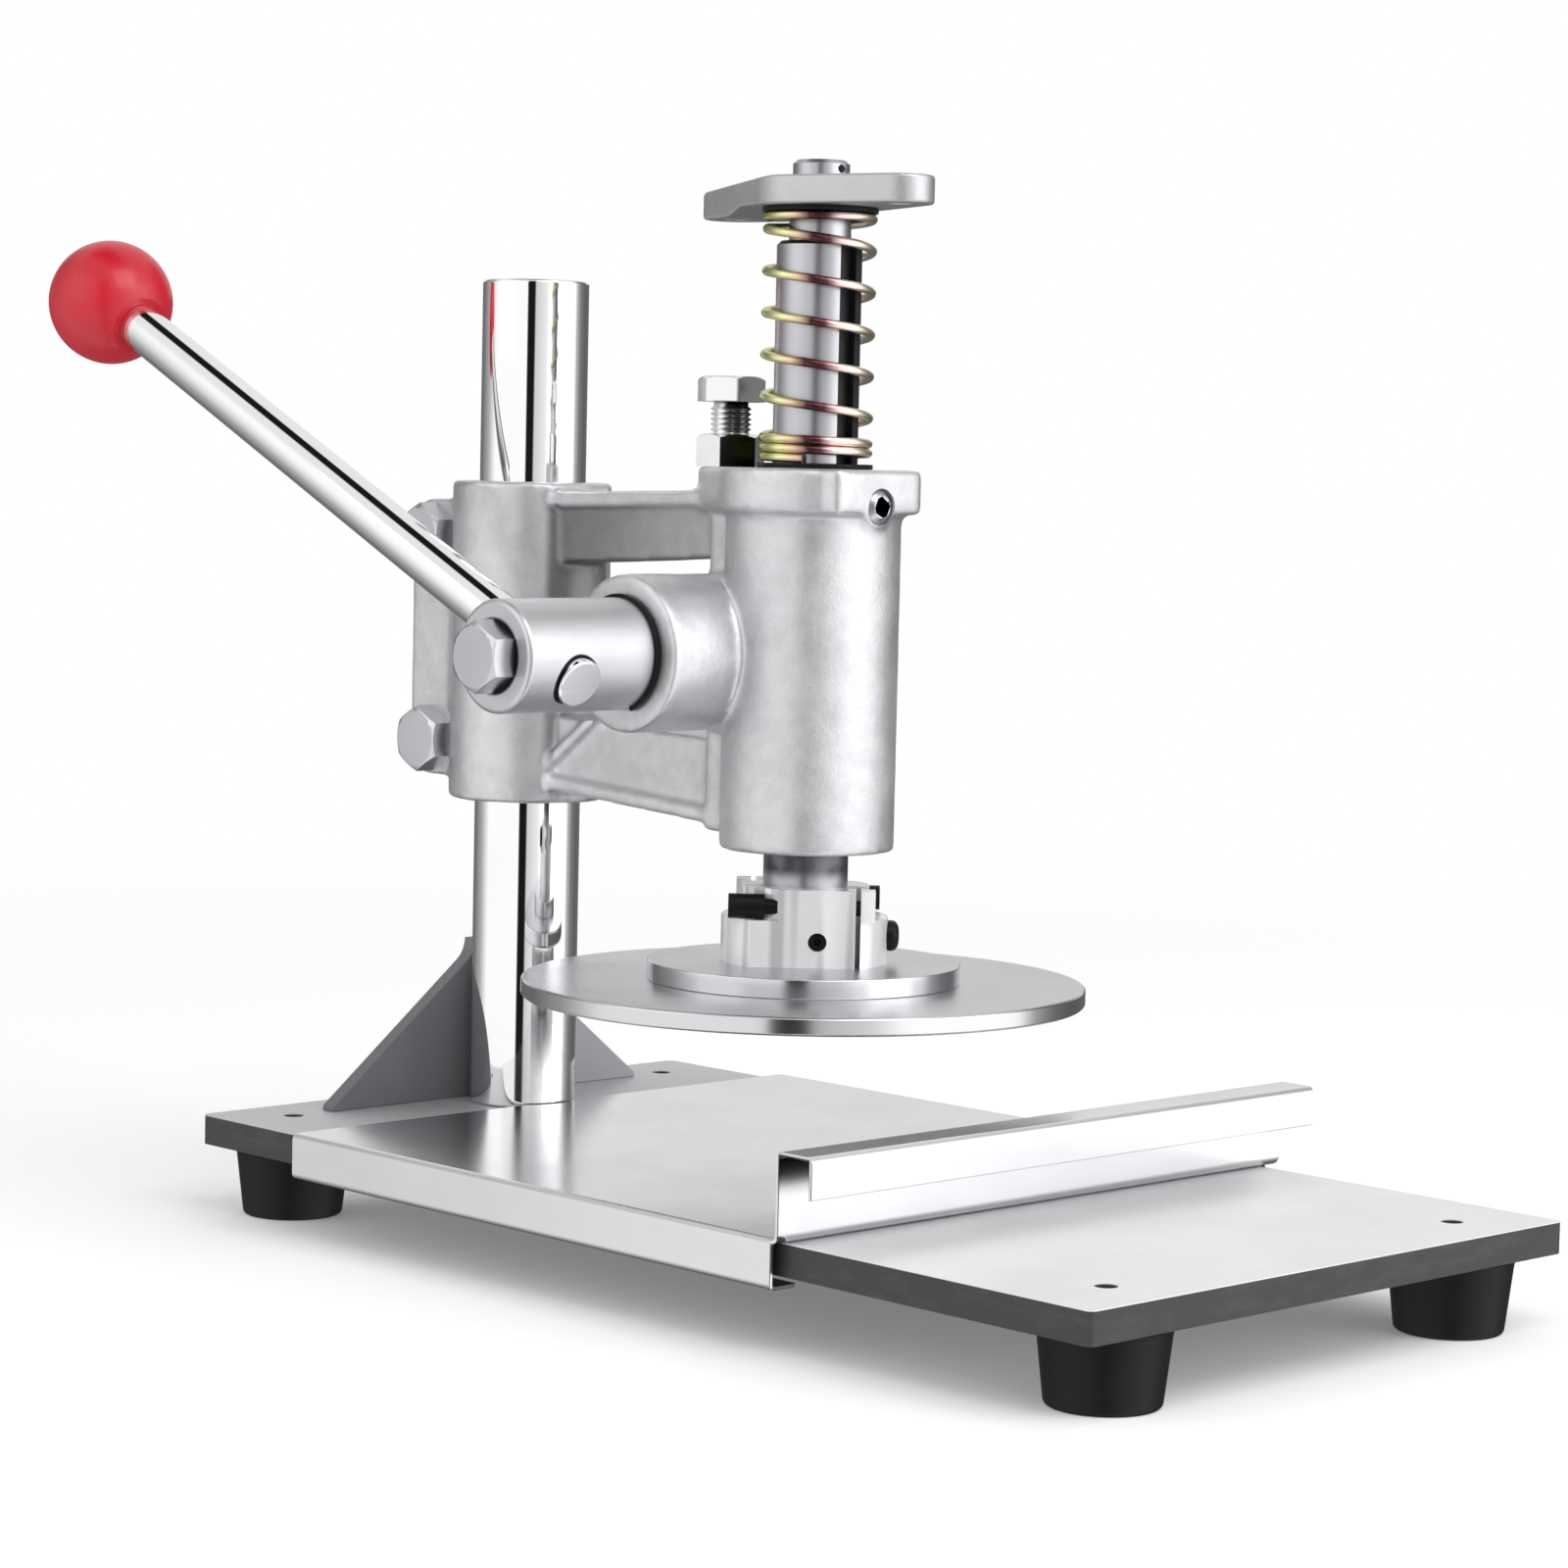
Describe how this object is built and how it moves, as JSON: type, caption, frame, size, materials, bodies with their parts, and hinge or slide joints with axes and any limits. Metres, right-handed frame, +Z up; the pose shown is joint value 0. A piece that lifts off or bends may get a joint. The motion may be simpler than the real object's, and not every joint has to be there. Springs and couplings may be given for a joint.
{
  "type": "pizza dough press",
  "caption": "Hand lever rack and pinion press on a column: a round plate on a sprung ram flattens dough on a sliding sheet metal tray over a footed base plate.",
  "frame": {"origin": "under the middle of the part's outline, on the bench that the feet stand on", "axes": "+Z up; +Y to the rear, from the operator towards the column; +X to the operator's right, away from the lever"},
  "size_m": [0.278, 0.6146, 0.426],
  "materials": {
    "base": "satin steel plate with dark sawn edges",
    "rubber": "matt black rubber",
    "zinc": "bright zinc plated fastener",
    "black_screw": "black oxide",
    "column": "hard chrome",
    "brace": "grey painted steel plate",
    "casting": "silver paint over a rough sand casting",
    "spring": "yellow passivated spring wire",
    "ram": "ground steel",
    "collar": "machined aluminium",
    "plate": "turned stainless steel",
    "shaft": "turned steel",
    "lever": "chromed steel rod",
    "insert": "brass insert",
    "knob": "gloss red plastic",
    "tray": "polished stainless sheet"
  },
  "bodies": {
    "stand": {"base_plate": "base", "front_left_foot": "rubber", "front_right_foot": "rubber", "rear_left_foot": "rubber", "rear_right_foot": "rubber", "foot_washers": "zinc", "foot_screws": "zinc", "column": "column", "column_screw": "zinc", "rear_brace": "brace"},
    "head": {"head_casting": "casting", "clamp_bolts": "zinc", "clamp_washers": "zinc", "clamp_nuts": "zinc", "guide_screw": "zinc", "stop_nut": "zinc", "lower_spring_seat": "black_screw", "return_spring": "spring"},
    "stop": {"stop_bolt": "zinc"},
    "ram": {"upper_spring_seat": "black_screw", "ram": "ram", "cap_flange": "casting", "cap_pin": "black_screw", "clamp_collar": "collar", "collar_screws": "black_screw", "collar_set_screw": "black_screw", "collar_side_screw": "black_screw", "backing_disc": "plate", "press_plate": "plate", "plate_screws": "zinc"},
    "lever": {"pinion_shaft": "shaft", "pinion_clip": "black_screw", "pinion_end_washer": "zinc", "pinion_end_screw": "zinc", "lever_lock_bolt": "zinc", "lever_rod": "lever", "knob_insert": "insert", "ball_knob": "knob"},
    "tray": {"slide_tray": "tray"}
  },
  "joints": [
    {"name": "head_height", "type": "slide", "parent": "stand", "child": "head", "axis": [0, 0, 1], "range_m": [0, 0.06]},
    {"name": "stop_adjust", "type": "slide", "parent": "head", "child": "stop", "axis": [0, 0, 1], "range_m": [-0.008, 0.004]},
    {"name": "lever_turn", "type": "hinge", "parent": "head", "child": "lever", "pos_m": [0.003, -0.0053, 0.236], "axis": [1, 0, 0], "range_deg": [0, 168.8]},
    {"name": "ram_slide", "type": "slide", "parent": "head", "child": "ram", "axis": [0, 0, -1], "range_m": [0, 0.056], "stiffness_N_per_m": 3700, "springref_m": -0.025, "deforming": ["return_spring"]},
    {"name": "tray_slide", "type": "slide", "parent": "stand", "child": "tray", "axis": [0, -1, 0], "range_m": [0, 0.2]}
  ],
  "couplings": [
    {"joint": "ram_slide", "follows": "lever_turn", "m_per_rad": 0.019}
  ]
}
